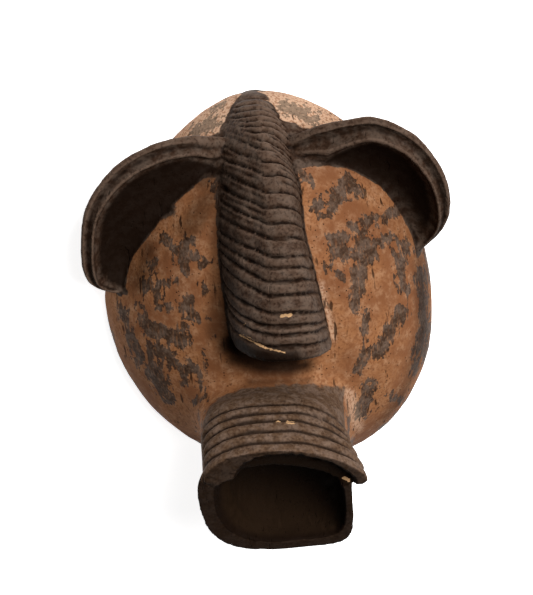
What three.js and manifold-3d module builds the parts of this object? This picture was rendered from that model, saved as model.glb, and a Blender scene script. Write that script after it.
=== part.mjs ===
import * as THREE from "three";
import { mergeVertices } from "three/addons/utils/BufferGeometryUtils.js";
import Module from "manifold-3d";

const wasm = await Module();
wasm.setup();

// A small wooden mask of an animal, carved from one block and lying on its flat back rim.
// Millimetres. +Z points out of the face, +Y to the top of the head, +X to the right seen from the front.

// The head is half an egg. Its reaches are measured from its own middle.
const head = {
  left: 42.9,
  right: 42.4,
  forehead: 55.9,
  chin: 46.3,
  depth: 36,
  middleY: 2.5,
  lean: -0.06, // the left side sits this share of its width higher
  power: { leftUp: 1.6, rightUp: 2, leftDown: 2, rightDown: 2.12 }, // 2 is an ellipse, and less is flatter
  rimTuck: 1.3,
  rimTuckDepth: 9,
  letIn: 0.018, // share of the way to the head's middle that the feet of nose and ears are sunk
};

// The back is hollowed, with a thicker wall under the nose than at the rim.
const hollow = { rimWall: 6.5, crownWall: 8 };

// The nose is a ridge of ribs. Each station is a rib line: its ridge [x, y, z], and its feet [x, y]
// on the head.
// The powers say how full the flanks are: 1 is a flat roof, 2 is round, and more is boxy.
const nose = {
  ribs: 21,
  ribGroove: 1,
  grooveShare: 0.24, // of a rib's pitch
  rootDepth: 0.12, // share of the way from its feet to the head's middle that the ridge goes in
  stations: [
    { ridge: [0.1, 57.2, -3], left: [-4, 56.3], right: [4.2, 56.3], fullLeft: 2, fullRight: 2 },
    { ridge: [0.7, 57.4, 13], left: [-6, 55.6], right: [6.6, 53.4], fullLeft: 1.7, fullRight: 1.7 },
    { ridge: [1.1, 55.3, 22.5], left: [-7.6, 53.2], right: [8, 49.8], fullLeft: 1.5, fullRight: 1.5 },
    { ridge: [2, 50.9, 29.5], left: [-9.1, 51.8], right: [9, 42.5], fullLeft: 1.3, fullRight: 1.4 },
    { ridge: [3.3, 44.7, 36.3], left: [-10.3, 46.1], right: [9.7, 37.2], fullLeft: 1.25, fullRight: 1.9 },
    { ridge: [3.9, 34.8, 43], left: [-11.3, 37.5], right: [9.8, 28.5], fullLeft: 1.3, fullRight: 2.6 },
    { ridge: [3.7, 25.3, 48.5], left: [-11.8, 28.2], right: [11.6, 18.8], fullLeft: 1.4, fullRight: 2.6 },
    { ridge: [3.4, 16.4, 53], left: [-11.6, 19.9], right: [13.5, 9.3], fullLeft: 1.65, fullRight: 2.4 },
    { ridge: [2.6, 3.6, 56], left: [-10.5, 3], right: [15.8, -0.9], fullLeft: 2.1, fullRight: 2.2 },
  ],
};

// An ear is a cup that opens towards the nose. Each station has its outer edge [x, y, z],
// its inner foot [x, y] on the head, the width of its double ridge and the depth of the groove in it.
// The cup's wall leans inwards as it goes down, by the share called lean.
const ear = {
  ridges: [0.22, 0.5, 0.78], // outer ridge, groove and inner ridge, as shares of the double ridge
  ridgeRound: 1.6,
  backRound: 1,
  wallDepth: 5.5,
  footDepth: 4,
  footReach: 2,
  bandShare: 0.7, // the widest double ridge, as a share of the way to the foot
  lean: 0.35,
};
const leftEar = [
  { edge: [-6, 49.5, 17], foot: [-6, 43.5], band: 6, groove: 0 },
  { edge: [-12, 51.8, 22], foot: [-11.5, 44.2], band: 6, groove: 0.6 },
  { edge: [-17.5, 52.9, 24.2], foot: [-16, 40.6], band: 5.4, groove: 1.2 },
  { edge: [-26, 51.8, 25.2], foot: [-22.5, 35], band: 5.2, groove: 1.4 },
  { edge: [-36, 46.8, 26], foot: [-28, 28.6], band: 4.8, groove: 1.4 },
  { edge: [-43.5, 37.5, 26], foot: [-32, 23.6], band: 4.2, groove: 1.3 },
  { edge: [-46.1, 26, 24.8], foot: [-35, 18.9], band: 3.8, groove: 1.3 },
  { edge: [-45.6, 17, 22], foot: [-36.4, 14.2], band: 3, groove: 1.1 },
  { edge: [-42, 12.8, 19], foot: [-36.6, 12.6], band: 1.8, groove: 0.5 },
  { edge: [-37.5, 10.6, 16.2], foot: [-36, 11.8], band: 1, groove: 0.2 },
];
const rightEar = [
  { edge: [3.8, 47, 17], foot: [5, 41.5], band: 7.6, groove: 0 },
  { edge: [9.5, 50.2, 21.4], foot: [10, 43.2], band: 8.6, groove: 1 },
  { edge: [15.7, 53.1, 24], foot: [15.6, 42.7], band: 8.6, groove: 2.4 },
  { edge: [22.5, 54.4, 25.2], foot: [21.5, 40.6], band: 7.4, groove: 2.4 },
  { edge: [30, 54.4, 26], foot: [26, 37.5], band: 6.4, groove: 1.9 },
  { edge: [38.9, 49.2, 26], foot: [30.5, 33], band: 5.8, groove: 1.6 },
  { edge: [44.9, 40.2, 25.4], foot: [33.6, 28], band: 5, groove: 1.5 },
  { edge: [46.8, 30.8, 23], foot: [36, 23], band: 4.2, groove: 1.3 },
  { edge: [45.3, 22.4, 18], foot: [37.8, 18], band: 3, groove: 0.9 },
  { edge: [40, 14.6, 11], foot: [38.2, 13.6], band: 1.6, groove: 0.4 },
];

// The muzzle stands out of the face along an axis that leans towards the chin.
// Its sections lie across that axis: x to the right and rise towards the forehead.
const muzzle = { leanDegrees: 25, length: 46, endDistance: 67.05, ahead: 3 }; // cuts start this far ahead
const jaw = {
  middle: -2.5,
  end: { left: 19.4, right: 19.2, up: 14.6, down: 22.8 },
  setBack: 1.2, // of its rim, behind the lip's
  waist: { left: -2.1, right: -0.6, up: 0, down: -1.2 }, // growth behind the end, over waistLength
  root: { left: 1.5, right: 4, up: 0, down: 5 }, // further growth towards the face, from rootStart
  dip: { deep: 8.5, start: 15, end: 36 }, // the top sinks to the face behind the collar
  waistLength: 6,
  rootStart: 18,
  power: { leftDown: 2.6, rightDown: 7, leftUp: 3, rightUp: 2.2 },
  underCollar: { leftUp: 2.5, start: 10, end: 18 }, // rounder there, so that the collar's left side shows
};
const collar = {
  middle: 0.5,
  left: 20,
  right: 20.1,
  foot: 3.5,
  rise: 11.7,
  tilt: -0.1,
  length: 16,
  step: 1.1,
  grooves: [3.6, 7.2, 10.5, 13.2], // distances from the lip
  groove: 0.75,
  grooveWidth: 1.1,
  flare: 3.6,
  lipRound: 1, // how far the underside stays within the arch
  lipDepth: 1.2,
  power: { leftUp: 2.2, rightUp: 1.7, leftDown: 2, rightDown: 2 },
};
// Behind its edge the upper lip is cut back, so that the edge is thin.
const rebate = { deep: 3, left: 12.5, right: 17, up: 10.4, down: 5, taper: 1.6 };
const mouth = {
  middle: -1.5,
  level: -2,
  left: 12,
  right: 15.8,
  up: 8.6,
  down: 17,
  flare: 4, // on the left, over flareLength from the end
  flareLength: 7,
  depth: 50,
  dip: { deep: 2.6, start: 16, end: 33 }, // its top sinks with the muzzle's
  power: { leftDown: 2.4, rightDown: 6, leftUp: 3.5, rightUp: 1.5 },
};

// The whole mask is moved by this much, to put the middle of its box on the Z axis.
const middle = { x: 0.26, y: 4.6 };

const wood = { color: 0x8a5a36, roughness: 0.75, metalness: 0 };

const quarter = (across, rise) => (across < 0 ? "left" : "right") + (rise < 0 ? "Down" : "Up");

// One point of a ring made of four quarter superellipses.
function roundedPoint(turn, size, power) {
  const angle = turn * 2 * Math.PI;
  const across = Math.cos(angle);
  const rise = Math.sin(angle);
  const width = across < 0 ? size.left : size.right;
  const height = rise < 0 ? size.down : size.up;
  const bend = 2 / power[quarter(across, rise)];
  return {
    x: Math.sign(across) * width * Math.pow(Math.abs(across), bend),
    rise: Math.sign(rise) * height * Math.pow(Math.abs(rise), bend),
  };
}

// The point of the head's surface, or of its hollow, that a unit direction leads to.
function headPoint(direction, wall, crownWall) {
  const radius = Math.hypot(direction.x, direction.y) || 1;
  const width = (direction.x < 0 ? head.left : head.right) - wall;
  const height = (direction.y < 0 ? head.chin : head.forehead) - wall;
  const power = head.power[quarter(direction.x, direction.y)];
  const spread = (part) => Math.sign(part) * radius * Math.pow(Math.abs(part) / radius, 2 / power);
  const z = direction.z * (head.depth - crownWall);
  const x = spread(direction.x) * width;
  const y = spread(direction.y) * height;
  const low = Math.max(0, 1 - Math.max(0, z) / head.rimTuckDepth);
  const tuck = wall ? 1 : 1 - (head.rimTuck * low * low) / head.left;
  return new THREE.Vector3(x * tuck, y * tuck + head.middleY + head.lean * x, z);
}

// The height of the head's surface over a place on the back plane.
function headHeight(x, y) {
  const up = y - head.middleY - head.lean * x;
  const width = x < 0 ? head.left : head.right;
  const height = up < 0 ? head.chin : head.forehead;
  const power = head.power[quarter(x, up)];
  const spread = Math.pow(Math.abs(x / width), power) + Math.pow(Math.abs(up / height), power);
  return head.depth * Math.sqrt(Math.max(0, 1 - Math.pow(spread, 2 / power)));
}

// A closed body whose rings follow pointAt(along, turn). Seen against its length, turn runs anticlockwise.
function loft(around, rows, pointAt) {
  const shape = new THREE.CylinderGeometry(1, 1, 1, around, rows);
  const place = shape.attributes.position;
  for (let i = 0; i < place.count; i += 1) {
    const row = Math.round((place.getY(i) + 0.5) * rows);
    const radius = Math.hypot(place.getX(i), place.getZ(i));
    const step = Math.round((Math.atan2(place.getX(i), place.getZ(i)) / (2 * Math.PI)) * around);
    const ringPoint = (index) => pointAt(row / rows, ((index + around) % around) / around);
    const point = new THREE.Vector3();
    if (radius < 0.5) {
      for (let k = 0; k < around; k += 1) point.addScaledVector(ringPoint(k), 1 / around);
    } else {
      point.copy(ringPoint(step));
    }
    place.setXYZ(i, point.x, point.y, point.z);
  }
  return shape;
}

function solidOf(geometry) {
  geometry.deleteAttribute("normal");
  geometry.deleteAttribute("uv");
  const merged = mergeVertices(geometry, 1e-4);
  const mesh = new wasm.Mesh({
    numProp: 3,
    vertProperties: merged.attributes.position.array,
    triVerts: new Uint32Array(merged.index.array),
  });
  mesh.merge();
  return new wasm.Manifold(mesh);
}

function headSolid(wall, crownWall, around, levels) {
  const shape = new THREE.SphereGeometry(1, around, levels);
  shape.rotateX(Math.PI / 2);
  const place = shape.attributes.position;
  for (let i = 0; i < place.count; i += 1) {
    const direction = new THREE.Vector3().fromBufferAttribute(place, i);
    const point = headPoint(direction, wall, crownWall);
    place.setXYZ(i, point.x, point.y, point.z);
  }
  return solidOf(shape);
}

// A smooth run of numbers through the stations of a list.
function runThrough(values) {
  const curve = new THREE.SplineCurve(values.map((value, index) => new THREE.Vector2(index, value)));
  return (along) => curve.getPoint(along).y;
}

function curveThrough(points) {
  return new THREE.CatmullRomCurve3(points.map(([x, y, z]) => new THREE.Vector3(x, y, z)));
}

// A foot on the head's surface, let in a little so that no gap is left under it.
function footing([x, y]) {
  const inside = new THREE.Vector3(0, head.middleY, 0);
  return new THREE.Vector3(x, y, headHeight(x, y)).lerp(inside, head.letIn).toArray();
}

// Ribs: rows in threes, a groove and the two edges of a rib, evenly spaced along the ridge.
function noseSolid() {
  const ridge = curveThrough(nose.stations.map((station) => station.ridge));
  const feet = {
    left: curveThrough(nose.stations.map((station) => footing(station.left))),
    right: curveThrough(nose.stations.map((station) => footing(station.right))),
  };
  const full = {
    left: runThrough(nose.stations.map((station) => station.fullLeft)),
    right: runThrough(nose.stations.map((station) => station.fullRight)),
  };
  const inside = new THREE.Vector3(0, head.middleY, 0);
  const flankSteps = 5;
  const underSteps = 4;
  const around = 2 * flankSteps + underSteps;
  const edges = [0, nose.grooveShare / 2, 1 - nose.grooveShare / 2];
  const rows = 3 * nose.ribs;
  const pointAt = (along, turn) => {
    const row = Math.round(along * rows);
    const share = Math.min(1, (Math.floor(row / 3) + edges[row % 3]) / nose.ribs);
    const t = ridge.getUtoTmapping(share);
    const index = Math.round(turn * around);
    const side = index <= flankSteps ? "right" : "left";
    const foot = feet[side].getPoint(t);
    if (index > 2 * flankSteps) {
      const fromLeft = (index - 2 * flankSteps) / underSteps;
      const base = feet.left.getPoint(t).lerp(feet.right.getPoint(t), fromLeft);
      return base.lerp(inside, nose.rootDepth);
    }
    const top = ridge.getPoint(t);
    const angle = (Math.abs(index - flankSteps) / flankSteps) * (Math.PI / 2);
    const bend = 2 / full[side](t);
    const out = Math.pow(Math.sin(angle), bend);
    const up = Math.pow(Math.max(0, Math.cos(angle)), bend);
    const point = new THREE.Vector3(
      THREE.MathUtils.lerp(top.x, foot.x, out),
      THREE.MathUtils.lerp(foot.y, top.y, up),
      THREE.MathUtils.lerp(foot.z, top.z, up),
    );
    const inGroove = row % 3 === 0 && row > 0 && row < rows && Math.abs(index - flankSteps) < flankSteps;
    return inGroove ? point.lerp(inside, nose.ribGroove / point.distanceTo(inside)) : point;
  };
  return solidOf(loft(around, rows, pointAt));
}

// The ring runs from the outer edge over the double ridge, down the cup to its foot and back outside.
function earSection(station) {
  const { span, rim, foot, band, groove } = station;
  const low = rim - ear.ridgeRound;
  const wall = (steps, step, start, end, top, bottom) => {
    const angle = (step / steps) * (Math.PI / 2);
    const inwards = (1 - ear.lean) * (1 - Math.cos(angle)) + ear.lean * Math.sin(angle);
    return [start + (end - start) * inwards, top + (bottom - top) * Math.sin(angle)];
  };
  const points = [
    [0, low],
    [ear.ridges[0] * band, rim],
    [ear.ridges[1] * band, rim - groove],
    [ear.ridges[2] * band, rim],
  ];
  const cupSteps = 4;
  const backSteps = 4;
  for (let i = 0; i <= cupSteps; i += 1) points.push(wall(cupSteps, i, band, span, low, foot));
  points.push([span + ear.footReach, foot - ear.footDepth]);
  for (let i = backSteps; i > 0; i -= 1) {
    const reach = span + ear.footReach;
    points.push(wall(backSteps, i, 0, reach, low - ear.backRound, foot - ear.wallDepth));
  }
  return points;
}

function earSolid(stations, rows, mirrored) {
  const edge = curveThrough(stations.map((station) => station.edge));
  const foot = curveThrough(stations.map((station) => footing(station.foot)));
  const band = runThrough(stations.map((station) => station.band));
  const groove = runThrough(stations.map((station) => station.groove));
  const around = earSection({ span: 1, rim: 1, foot: 0, band: 1, groove: 0 }).length;
  const pointAt = (along, turn) => {
    const outer = edge.getPoint(along);
    const inner = foot.getPoint(along);
    const inwards = new THREE.Vector3(inner.x - outer.x, inner.y - outer.y, 0);
    const span = inwards.length();
    inwards.normalize();
    const width = Math.min(band(along), ear.bandShare * span);
    const rim = outer.z;
    const section = earSection({ span, rim, foot: inner.z, band: width, groove: groove(along) });
    const index = Math.round(turn * around);
    const [u, z] = section[mirrored ? (around - index) % around : index];
    return new THREE.Vector3(outer.x + inwards.x * u, outer.y + inwards.y * u, z);
  };
  return solidOf(loft(around, rows, pointAt));
}

// A place in the muzzle: distance back from the end, and a section point.
function muzzlePlace(back, x, rise) {
  const lean = THREE.MathUtils.degToRad(muzzle.leanDegrees);
  const axis = new THREE.Vector3(0, -Math.sin(lean), Math.cos(lean));
  const up = new THREE.Vector3(0, Math.cos(lean), Math.sin(lean));
  const place = axis.multiplyScalar(muzzle.endDistance - back).addScaledVector(up, rise);
  return place.setX(x);
}

// The jaw widens a little to its end, and spreads into the face at its root.
function jawSolid() {
  const around = 32;
  const rows = 12;
  const pointAt = (along, turn) => {
    const back = THREE.MathUtils.lerp(muzzle.length, jaw.setBack, along);
    const root = Math.pow(THREE.MathUtils.smoothstep(back, jaw.rootStart, muzzle.length), 1.5);
    const waist = THREE.MathUtils.smoothstep(back, 0, jaw.waistLength);
    const size = {};
    for (const side of ["left", "right", "up", "down"]) {
      size[side] = jaw.end[side] + jaw.waist[side] * waist + jaw.root[side] * root;
    }
    size.up -= jaw.dip.deep * THREE.MathUtils.smoothstep(back, jaw.dip.start, jaw.dip.end);
    const behind = THREE.MathUtils.smoothstep(back, jaw.underCollar.start, jaw.underCollar.end);
    const leftUp = THREE.MathUtils.lerp(jaw.underCollar.leftUp, jaw.power.leftUp, behind);
    const point = roundedPoint(turn, size, { ...jaw.power, leftUp });
    return muzzlePlace(back, jaw.middle + point.x, point.rise);
  };
  return solidOf(loft(around, rows, pointAt));
}

// The ringed upper lip: an arch over the jaw, lower on its right, with grooves across it.
// Its rings run over the arch from right to left, and back through the jaw.
function collarSolid() {
  const around = 26;
  const archSteps = 18;
  const rings = [[0, 0]];
  for (const distance of collar.grooves) {
    rings.push([distance - collar.grooveWidth / 2, 0]);
    rings.push([distance, collar.groove]);
    rings.push([distance + collar.grooveWidth / 2, 0]);
  }
  rings.push([collar.length - collar.step, 0]);
  rings.push([collar.length, collar.step]);
  rings.reverse();
  const pointAt = (along, turn) => {
    const [back, cut] = rings[Math.round(along * (rings.length - 1))];
    const index = Math.round(turn * around);
    const right = collar.right - collar.flare * THREE.MathUtils.smoothstep(back, 0, collar.length);
    if (index > archSteps) {
      const across = ((index - archSteps) / (around - 1 - archSteps)) * 2 - 1;
      const x = across * (right - collar.lipRound);
      return muzzlePlace(back, collar.middle + x, collar.foot - collar.lipDepth + collar.tilt * x);
    }
    const arch = { left: collar.left - cut, right: right - cut, up: collar.rise - cut, down: 0 };
    const point = roundedPoint(index / archSteps / 2, arch, collar.power);
    return muzzlePlace(back, collar.middle + point.x, collar.foot + point.rise + collar.tilt * point.x);
  };
  return solidOf(loft(around, rings.length - 1, pointAt));
}

function rebateSolid() {
  const around = 28;
  const rows = 4;
  const pointAt = (along, turn) => {
    const back = rebate.deep - along * (rebate.deep + muzzle.ahead);
    const narrow = rebate.taper * Math.max(0, back / rebate.deep);
    const size = {};
    for (const side of ["left", "right", "up", "down"]) size[side] = rebate[side] - narrow;
    const point = roundedPoint(turn, size, collar.power);
    return muzzlePlace(back, collar.middle + point.x, collar.foot + point.rise + collar.tilt * point.x);
  };
  return solidOf(loft(around, rows, pointAt));
}

// The mouth runs from the end of the muzzle right through to the hollow back.
function mouthSolid() {
  const around = 28;
  const rows = 14;
  const pointAt = (along, turn) => {
    const back = mouth.depth - along * (mouth.depth + muzzle.ahead);
    const flare = mouth.flare * (1 - THREE.MathUtils.smoothstep(back, 0, mouth.flareLength));
    const dip = mouth.dip.deep * THREE.MathUtils.smoothstep(back, mouth.dip.start, mouth.dip.end);
    const size = { left: mouth.left + flare, right: mouth.right, up: mouth.up - dip, down: mouth.down };
    const point = roundedPoint(turn, size, mouth.power);
    return muzzlePlace(back, mouth.middle + point.x, mouth.level + point.rise);
  };
  return solidOf(loft(around, rows, pointAt));
}

function belowSolid() {
  const size = 300;
  const shape = new THREE.BoxGeometry(size, size, size / 2);
  shape.translate(0, 0, -size / 4);
  return solidOf(shape);
}

function maskGeometry() {
  let mask = headSolid(0, 0, 60, 36);
  for (const addition of [
    noseSolid(),
    earSolid(leftEar, 26, true),
    earSolid(rightEar, 26, false),
    jawSolid(),
    collarSolid(),
  ]) {
    mask = mask.add(addition);
  }
  const hollowed = headSolid(hollow.rimWall, hollow.crownWall, 44, 28);
  const cuts = [hollowed, mouthSolid(), rebateSolid(), belowSolid()];
  for (const cut of cuts) mask = mask.subtract(cut);
  const mesh = mask.getMesh();
  const geometry = new THREE.BufferGeometry();
  geometry.setAttribute("position", new THREE.BufferAttribute(mesh.vertProperties, 3));
  geometry.setIndex(new THREE.BufferAttribute(mesh.triVerts, 1));
  geometry.computeVertexNormals();
  return geometry;
}

const mask = new THREE.Mesh(maskGeometry(), new THREE.MeshStandardMaterial(wood));
mask.name = "mask";
mask.position.set(-middle.x, -middle.y, 0);

const part = new THREE.Group();
part.add(mask);

export default part;
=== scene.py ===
import math

import bmesh
import bpy
import numpy as np
from mathutils import Matrix, Vector, noise
from mathutils.bvhtree import BVHTree


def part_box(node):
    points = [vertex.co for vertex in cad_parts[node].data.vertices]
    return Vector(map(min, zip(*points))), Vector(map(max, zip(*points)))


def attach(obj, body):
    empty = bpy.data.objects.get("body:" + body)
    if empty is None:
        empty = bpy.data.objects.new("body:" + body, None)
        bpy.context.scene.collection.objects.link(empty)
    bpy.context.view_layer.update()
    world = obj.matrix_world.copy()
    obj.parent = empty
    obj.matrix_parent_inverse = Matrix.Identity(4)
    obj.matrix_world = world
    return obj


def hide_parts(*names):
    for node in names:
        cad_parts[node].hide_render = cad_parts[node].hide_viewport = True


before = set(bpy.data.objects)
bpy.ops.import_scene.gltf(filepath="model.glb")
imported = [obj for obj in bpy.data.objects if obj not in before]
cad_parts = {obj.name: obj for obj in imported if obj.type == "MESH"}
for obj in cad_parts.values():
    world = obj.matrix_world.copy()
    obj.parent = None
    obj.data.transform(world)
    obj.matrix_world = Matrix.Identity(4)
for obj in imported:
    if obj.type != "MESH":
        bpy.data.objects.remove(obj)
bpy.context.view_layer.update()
print("frame loaded")

# A small wooden animal mask, carved from one block, that lies on its flat back rim.
# Lengths are in millimetres until the mesh is finished. +Z is out of the face, +Y to the top of the head.
low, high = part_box("mask")
maskWidth = 93.03
millimetre = (high.x - low.x) / maskWidth
middle = Vector((0.26, 4.6, 0))  # of the carving's own frame, which starts under the nose

# The photo's camera looks down on the mask, a little from the forehead's side.
camera = {
    "photoWide": 533,
    "photoHigh": 595,
    "tilt": 20,
    "roll": 4.5,
    "distance": 830,
    "pixel": 0.25,  # mm on the plane through aim
    "aim": (-0.82, 10.91, 27.95),
    "sensor": 36,
}


def cameraAxes():
    tilt, roll = math.radians(camera["tilt"]), math.radians(camera["roll"])
    back = Vector((0, math.sin(tilt), math.cos(tilt)))
    upright = Vector((0, math.cos(tilt), -math.sin(tilt)))
    sideways = Vector((1, 0, 0))
    right = math.cos(roll) * sideways - math.sin(roll) * upright
    up = math.sin(roll) * sideways + math.cos(roll) * upright
    return right, up, back


def photoPlace(points):
    # where points of the carving show in the photo, in its pixels
    right, up, back = (np.array(axis) for axis in cameraAxes())
    away = points - (np.array(camera["aim"]) + camera["distance"] * back)
    depth = -(away @ back)
    scale = camera["distance"] / camera["pixel"] / depth
    x = camera["photoWide"] / 2 + (away @ right) * scale
    y = camera["photoHigh"] / 2 - (away @ up) * scale
    return np.stack([x, y], axis=1)


def addCamera():
    right, up, back = cameraAxes()
    data = bpy.data.cameras.new("photoCamera")
    data.sensor_width = camera["sensor"]
    photoSide = camera["pixel"] * camera["photoHigh"]
    data.lens = camera["sensor"] * camera["distance"] / photoSide
    data.clip_end = 20
    place = Vector(camera["aim"]) + camera["distance"] * back - middle
    matrix = Matrix((right, up, back)).transposed().to_4x4()
    matrix.translation = place * millimetre
    shown = bpy.data.objects.new("photoCamera", data)
    shown.matrix_world = matrix
    bpy.context.scene.collection.objects.link(shown)
    bpy.context.scene.camera = shown


addCamera()
print("camera placed")


# Small tools for the carving.
def smoothstep(x, start, end):
    t = np.clip((x - start) / (end - start), 0, 1)
    return t * t * (3 - 2 * t)


def lerp(a, b, t):
    return a + (b - a) * t


def smoothBetween(a, b, c, d, f):
    # from b to c as f goes from 0 to 1, on a curve that passes all four
    return 0.5 * (2 * b + (c - a) * f + (2 * a - 5 * b + 4 * c - d) * f**2 + (3 * b - a - 3 * c + d) * f**3)


def smoothRun(values, t):
    # a smooth run through a list of numbers or points, for t from 0 to 1
    values = np.asarray(values, float)
    last = len(values) - 1
    s = np.clip(t, 0, 1) * last
    i = np.minimum(s.astype(int), last - 1)
    f = s - i
    padded = np.concatenate([[2 * values[0] - values[1]], values, [2 * values[-1] - values[-2]]])
    if values.ndim > 1:
        f = f[:, None]
    return smoothBetween(*(padded[i + k] for k in range(4)), f)


def grain(points, size, octaves=3, seed=0):
    # soft uneven noise from about -1 to 1, whose largest bumps are about size mm
    away = Vector((17.3, 5.1, 9.7)) * seed
    return np.array([noise.fractal(Vector(p) / size + away, 1, 2, octaves) for p in points])


def quarter(power, across, rise):
    upper = np.where(across < 0, power["leftUp"], power["rightUp"])
    lower = np.where(across < 0, power["leftDown"], power["rightDown"])
    return np.where(rise < 0, lower, upper)


def roundedPoint(turn, size, power):
    # one point of a ring made of four quarter superellipses
    across, rise = np.cos(turn * 2 * math.pi), np.sin(turn * 2 * math.pi)
    across = np.where(np.abs(across) < 1e-9, 0, across)
    rise = np.where(np.abs(rise) < 1e-9, 0, rise)
    bend = 2 / quarter(power, across, rise)
    width = np.where(across < 0, size["left"], size["right"])
    height = np.where(rise < 0, size["down"], size["up"])
    x = np.sign(across) * width * np.abs(across) ** bend
    y = np.sign(rise) * height * np.abs(rise) ** bend
    return x, y


def vertexPlaces(bm):
    return np.array([vertex.co for vertex in bm.verts])


def setPlaces(bm, places):
    for vertex, place in zip(bm.verts, places):
        vertex.co = place


def tube(around, rows, pointAt):
    # a closed body whose rings follow pointAt(along, turn)
    bm = bmesh.new()
    bmesh.ops.create_cone(bm, cap_ends=True, segments=around, radius1=1, radius2=1, depth=1)
    lengthwise = [e for e in bm.edges if abs(e.verts[0].co.z - e.verts[1].co.z) > 0.5]
    bmesh.ops.subdivide_edges(bm, edges=lengthwise, cuts=rows - 1, use_grid_fill=True)
    ring = vertexPlaces(bm)
    turn = np.round(np.arctan2(ring[:, 1], ring[:, 0]) / (2 * math.pi) * around) / around % 1
    setPlaces(bm, pointAt(ring[:, 2] + 0.5, turn))
    bmesh.ops.triangulate(bm, faces=[f for f in bm.faces if len(f.verts) > 4])
    bmesh.ops.recalc_face_normals(bm, faces=bm.faces)
    return bm


# The head is half an egg. Its reaches are measured from its own middle.
head = {
    "left": 42.9,
    "right": 42.4,
    "forehead": 55.9,
    "chin": 46.3,
    "depth": 36,
    "middleY": 2.5,
    "lean": -0.06,  # the left side sits this share of its width higher
    "power": {"leftUp": 1.6, "rightUp": 2, "leftDown": 2, "rightDown": 2.12},
    "rimTuck": 1.3,
    "rimTuckDepth": 9,
    "letIn": 0.018,  # share of the way to the head's middle that the feet of nose and ears are sunk
    "rimWall": 6.5,
    "crownWall": 8,
}


def headPoint(direction, wall, crownWall):
    x, y, z = direction.T
    radius = np.maximum(np.hypot(x, y), 1e-9)
    power = quarter(head["power"], x, y)
    width = np.where(x < 0, head["left"], head["right"]) - wall
    height = np.where(y < 0, head["chin"], head["forehead"]) - wall
    outX = np.sign(x) * radius * (np.abs(x) / radius) ** (2 / power) * width
    outY = np.sign(y) * radius * (np.abs(y) / radius) ** (2 / power) * height
    outZ = z * (head["depth"] - crownWall)
    low = np.maximum(0, 1 - np.maximum(0, outZ) / head["rimTuckDepth"])
    tuck = 1 if wall else 1 - head["rimTuck"] * low**2 / head["left"]
    return np.stack([outX * tuck, outY * tuck + head["middleY"] + head["lean"] * outX, outZ], axis=1)


def headHeight(x, y):
    up = y - head["middleY"] - head["lean"] * x
    width = np.where(x < 0, head["left"], head["right"])
    height = np.where(up < 0, head["chin"], head["forehead"])
    power = quarter(head["power"], x, up)
    spread = np.abs(x / width) ** power + np.abs(up / height) ** power
    return head["depth"] * np.sqrt(np.maximum(0, 1 - spread ** (2 / power)))


def headBody(wall, crownWall, around, levels):
    bm = bmesh.new()
    bmesh.ops.create_uvsphere(bm, u_segments=around, v_segments=levels, radius=1)
    setPlaces(bm, headPoint(vertexPlaces(bm), wall, crownWall))
    return bm


def footings(feet):
    # feet on the head's surface, let in a little
    feet = np.array(feet, float)
    onHead = np.column_stack([feet, headHeight(feet[:, 0], feet[:, 1])])
    inside = np.array([0, head["middleY"], 0])
    return lerp(onHead, inside, head["letIn"])


# The nose is a ridge of ribs. Each station is a rib line: its ridge, then its left and right feet,
# then how full its flanks are: 1 is a flat roof, 2 is round, and more is boxy.
nose = {
    # where the grooves cross the ridge, as rows of the photo's pixels
    "grooves": [91, 96.5, 102, 107.5, 113, 118.5, 124, 130, 138, 146.5, 160, 172.5, 190.5, 207, 222.5]
    + [238, 255.6, 268, 280.6, 295, 314, 327, 335.5, 348.5],
    "leftGrooves": [166, 181, 198.5, 214.5, 230.5],  # shallower ones between them, on one flank only
    "rightGrooves": [134, 142, 153, 166, 181],
    "grooveDeep": 1.4,
    "grooveWide": 1.4,
    "ribRound": 0.4,
    "waver": 0.65,
    "tipRound": 1.6,
    "rootDepth": 0.12,
    "flank": 0.8,  # share of a ring that is over the surface
    "flankWide": 9,
    "waverSize": 5,
    "uneven": 0.5,  # share that the grooves' depth varies
    "unevenSize": 4,
    "betweenDeep": 0.6,  # share of the depth that the shallower ones have
    "betweenStart": (0.1, 0.35),  # share of the flank where they run out towards the ridge line
    "crownShallow": 0.4,  # share of their depth where the ridge starts
    "crownEnd": (0.1, 0.22),  # of the ridge's length
    "upperRight": 1,  # share that the grooves are deeper on the upper right flank
    "upperRightEnd": (0.3, 0.45),
    "ridgeFull": (1.3, 2),  # its ridge line is a crease on the crown and rounded near the tip
    "ridgeRounds": (0.25, 0.55),
    "ridgeShare": 0.4,  # of a flank
    "fade": (0.05, 0.16),  # share of the right and left flank over which the grooves run out
    "stations": [
        ((0.1, 57.2, -3), (-4, 56.3), (2.6, 56.8), 2, 2),
        ((0.7, 57.4, 13), (-6, 55.6), (5.3, 54.3), 1.7, 1.6),
        ((1.1, 55.3, 22.5), (-7.6, 53.2), (8, 49.8), 1.5, 1.5),
        ((2, 50.9, 29.5), (-9.1, 51.8), (9, 42.5), 1.3, 1.4),
        ((3.3, 44.7, 36.3), (-10.3, 46.1), (9.7, 37.2), 1.25, 1.9),
        ((3.9, 34.8, 43), (-11.3, 37.5), (9.8, 28.5), 1.3, 2.6),
        ((3.7, 25.3, 48.5), (-11.8, 28.2), (11.4, 18.8), 1.4, 2.8),
        ((3.4, 16.4, 53), (-11.6, 19.9), (13, 9.3), 1.65, 2.9),
        ((2.6, 3.6, 56), (-10.5, 3), (15.1, -0.9), 2.1, 2.7),
    ],
}


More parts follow.
